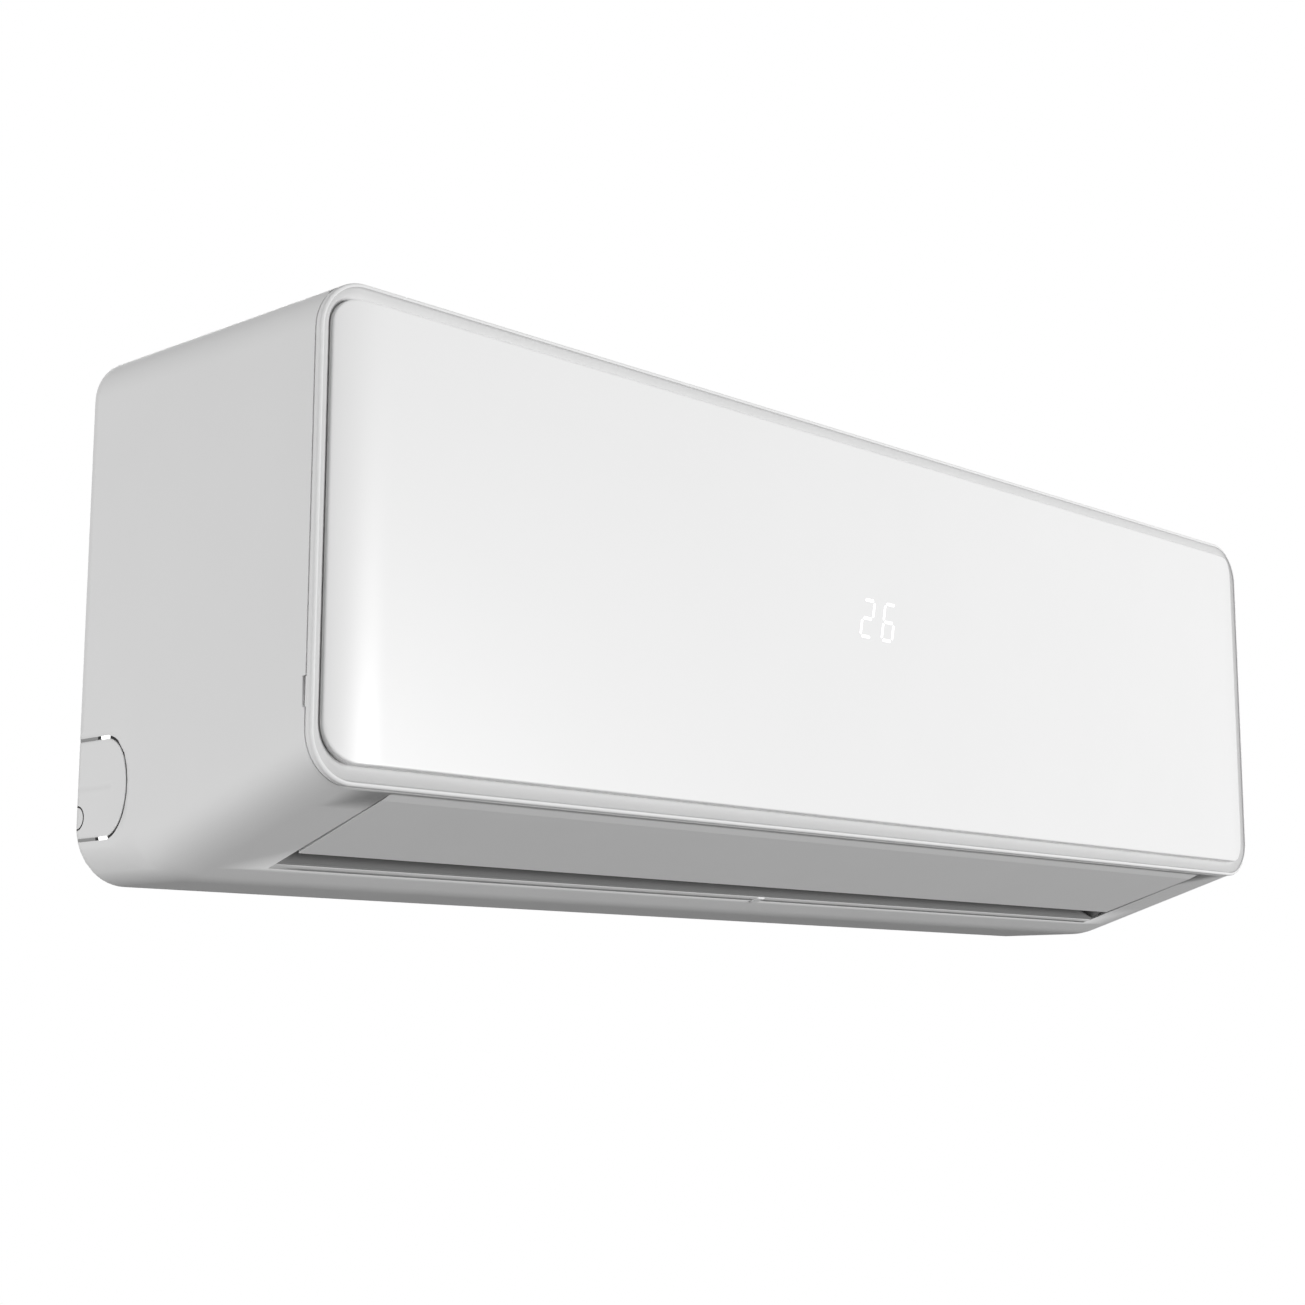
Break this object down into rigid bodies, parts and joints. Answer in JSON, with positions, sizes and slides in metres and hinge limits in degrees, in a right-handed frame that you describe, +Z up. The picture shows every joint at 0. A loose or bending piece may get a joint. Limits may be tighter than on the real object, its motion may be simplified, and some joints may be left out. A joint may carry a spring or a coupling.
{
  "type": "mini split indoor unit",
  "caption": "Wall-mounted indoor air conditioner unit with a hinged front panel, swinging louver, upright vanes, cross-flow fan, coil and lift-out filters.",
  "frame": {"origin": "centre of the wall plate's back face, on the wall", "axes": "+X along the unit to the right when seen from the room, +Y into the wall, +Z up"},
  "size_m": [0.86, 0.199, 0.2835],
  "materials": {
    "white": "fine satin moulded ABS",
    "panel_white": "smooth semi-gloss white",
    "inner_white": "moulded, slightly duller than the outside",
    "inner_grey": "moulded light grey",
    "black_plastic": "moulded flame-retardant black",
    "fan_plastic": "dark grey glass-filled",
    "zinc_steel": "zinc-plated sheet",
    "bright_steel": "ground rod",
    "coil_aluminium": "thin stacked fins",
    "copper": "drawn copper",
    "brass": "turned",
    "rubber": "moulded",
    "circuit_board": "green laminate with components"
  },
  "bodies": {
    "base": {"casing": "white", "pipe_cover_left": "white", "pipe_cover_right": "white", "drain_pan": "inner_white", "intake_grille": "inner_white", "chassis": "inner_grey", "louver_pivot": "inner_grey", "louver_support": "inner_grey", "motor_bracket": "inner_grey", "drain_spigot": "inner_grey", "pipe_clamp": "inner_grey", "control_box": "black_plastic", "terminal_block": "black_plastic", "room_sensor": "black_plastic", "wall_plate": "zinc_steel", "control_box_cover": "zinc_steel", "tube_sheet_left": "zinc_steel", "tube_sheet_right": "zinc_steel", "fan_motor": "zinc_steel", "louver_motor": "zinc_steel", "coil_front": "coil_aluminium", "coil_top": "coil_aluminium", "coil_rear": "coil_aluminium", "gas_pipe": "copper", "liquid_pipe": "copper", "coil_sensor": "copper", "flare_nut_gas": "brass", "flare_nut_liquid": "brass", "fan_bearing": "brass", "bearing_holder": "rubber", "drain_plug": "rubber", "control_board": "circuit_board"},
    "door": {"panel_frame": "white", "front_panel": "panel_white", "display_module": "black_plastic", "hinge_pin_left": "bright_steel", "hinge_pin_right": "bright_steel", "panel_latch_left": "inner_grey", "panel_latch_right": "inner_grey"},
    "louver": {"louver": "white"},
    "fan": {"fan_wheel": "fan_plastic", "fan_stub_shaft": "bright_steel", "motor_shaft": "bright_steel"},
    "filter_left": {"filter_left": "inner_grey"},
    "filter_right": {"filter_right": "inner_grey"},
    "button": {"manual_button": "inner_white"},
    "vane_left_1": {"vane_left_1": "inner_white"},
    "vane_left_2": {"vane_left_2": "inner_white"},
    "vane_left_3": {"vane_left_3": "inner_white"},
    "vane_left_4": {"vane_left_4": "inner_white"},
    "vane_left_5": {"vane_left_5": "inner_white"},
    "vane_left_6": {"vane_left_6": "inner_white"},
    "tie_left": {"tie_bar_left": "inner_grey"},
    "vane_right_1": {"vane_right_1": "inner_white"},
    "vane_right_2": {"vane_right_2": "inner_white"},
    "vane_right_3": {"vane_right_3": "inner_white"},
    "vane_right_4": {"vane_right_4": "inner_white"},
    "vane_right_5": {"vane_right_5": "inner_white"},
    "vane_right_6": {"vane_right_6": "inner_white"},
    "tie_right": {"tie_bar_right": "inner_grey"}
  },
  "joints": [
    {"name": "door_hinge", "type": "hinge", "parent": "base", "child": "door", "pos_m": [0, -0.1906, 0.1388], "axis": [-1, 0, 0], "range_deg": [0, 60]},
    {"name": "louver_swing", "type": "hinge", "parent": "base", "child": "louver", "pos_m": [0, -0.128, -0.1135], "axis": [1, 0, 0], "range_deg": [0, 75]},
    {"name": "fan_spin", "type": "hinge", "parent": "base", "child": "fan", "pos_m": [0, -0.096, -0.03], "axis": [1, 0, 0], "continuous": true},
    {"name": "filter_left_lift", "type": "slide", "parent": "base", "child": "filter_left", "axis": [0, 0, 1], "range_m": [0, 0.04]},
    {"name": "filter_right_lift", "type": "slide", "parent": "base", "child": "filter_right", "axis": [0, 0, 1], "range_m": [0, 0.04]},
    {"name": "button_press", "type": "slide", "parent": "base", "child": "button", "axis": [0, 1, 0], "range_m": [0, 0.0015], "stiffness_N_per_m": 400},
    {"name": "vane_left_1_turn", "type": "hinge", "parent": "base", "child": "vane_left_1", "pos_m": [-0.032, -0.07727, -0.11427], "axis": [0, -0.6347, 0.7727], "range_deg": [-30, 30]},
    {"name": "vane_left_2_turn", "type": "hinge", "parent": "base", "child": "vane_left_2", "pos_m": [-0.092, -0.07727, -0.11427], "axis": [0, -0.6347, 0.7727], "range_deg": [-30, 30]},
    {"name": "vane_left_3_turn", "type": "hinge", "parent": "base", "child": "vane_left_3", "pos_m": [-0.152, -0.07727, -0.11427], "axis": [0, -0.6347, 0.7727], "range_deg": [-30, 30]},
    {"name": "vane_left_4_turn", "type": "hinge", "parent": "base", "child": "vane_left_4", "pos_m": [-0.212, -0.07727, -0.11427], "axis": [0, -0.6347, 0.7727], "range_deg": [-30, 30]},
    {"name": "vane_left_5_turn", "type": "hinge", "parent": "base", "child": "vane_left_5", "pos_m": [-0.272, -0.07727, -0.11427], "axis": [0, -0.6347, 0.7727], "range_deg": [-30, 30]},
    {"name": "vane_left_6_turn", "type": "hinge", "parent": "base", "child": "vane_left_6", "pos_m": [-0.332, -0.07727, -0.11427], "axis": [0, -0.6347, 0.7727], "range_deg": [-30, 30]},
    {"name": "tie_left_pin", "type": "hinge", "parent": "vane_left_1", "child": "tie_left", "pos_m": [-0.032, -0.0816, -0.09324], "axis": [0, -0.6347, 0.7727], "range_deg": [-30, 30]},
    {"name": "vane_right_1_turn", "type": "hinge", "parent": "base", "child": "vane_right_1", "pos_m": [0.032, -0.07727, -0.11427], "axis": [0, -0.6347, 0.7727], "range_deg": [-30, 30]},
    {"name": "vane_right_2_turn", "type": "hinge", "parent": "base", "child": "vane_right_2", "pos_m": [0.092, -0.07727, -0.11427], "axis": [0, -0.6347, 0.7727], "range_deg": [-30, 30]},
    {"name": "vane_right_3_turn", "type": "hinge", "parent": "base", "child": "vane_right_3", "pos_m": [0.152, -0.07727, -0.11427], "axis": [0, -0.6347, 0.7727], "range_deg": [-30, 30]},
    {"name": "vane_right_4_turn", "type": "hinge", "parent": "base", "child": "vane_right_4", "pos_m": [0.212, -0.07727, -0.11427], "axis": [0, -0.6347, 0.7727], "range_deg": [-30, 30]},
    {"name": "vane_right_5_turn", "type": "hinge", "parent": "base", "child": "vane_right_5", "pos_m": [0.272, -0.07727, -0.11427], "axis": [0, -0.6347, 0.7727], "range_deg": [-30, 30]},
    {"name": "vane_right_6_turn", "type": "hinge", "parent": "base", "child": "vane_right_6", "pos_m": [0.332, -0.07727, -0.11427], "axis": [0, -0.6347, 0.7727], "range_deg": [-30, 30]},
    {"name": "tie_right_pin", "type": "hinge", "parent": "vane_right_1", "child": "tie_right", "pos_m": [0.032, -0.0816, -0.09324], "axis": [0, -0.6347, 0.7727], "range_deg": [-30, 30]}
  ],
  "couplings": [
    {"joint": "vane_left_2_turn", "follows": "vane_left_1_turn", "ratio": 1},
    {"joint": "vane_left_3_turn", "follows": "vane_left_1_turn", "ratio": 1},
    {"joint": "vane_left_4_turn", "follows": "vane_left_1_turn", "ratio": 1},
    {"joint": "vane_left_5_turn", "follows": "vane_left_1_turn", "ratio": 1},
    {"joint": "vane_left_6_turn", "follows": "vane_left_1_turn", "ratio": 1},
    {"joint": "tie_left_pin", "follows": "vane_left_1_turn", "ratio": -1},
    {"joint": "vane_right_2_turn", "follows": "vane_right_1_turn", "ratio": 1},
    {"joint": "vane_right_3_turn", "follows": "vane_right_1_turn", "ratio": 1},
    {"joint": "vane_right_4_turn", "follows": "vane_right_1_turn", "ratio": 1},
    {"joint": "vane_right_5_turn", "follows": "vane_right_1_turn", "ratio": 1},
    {"joint": "vane_right_6_turn", "follows": "vane_right_1_turn", "ratio": 1},
    {"joint": "tie_right_pin", "follows": "vane_right_1_turn", "ratio": -1}
  ]
}
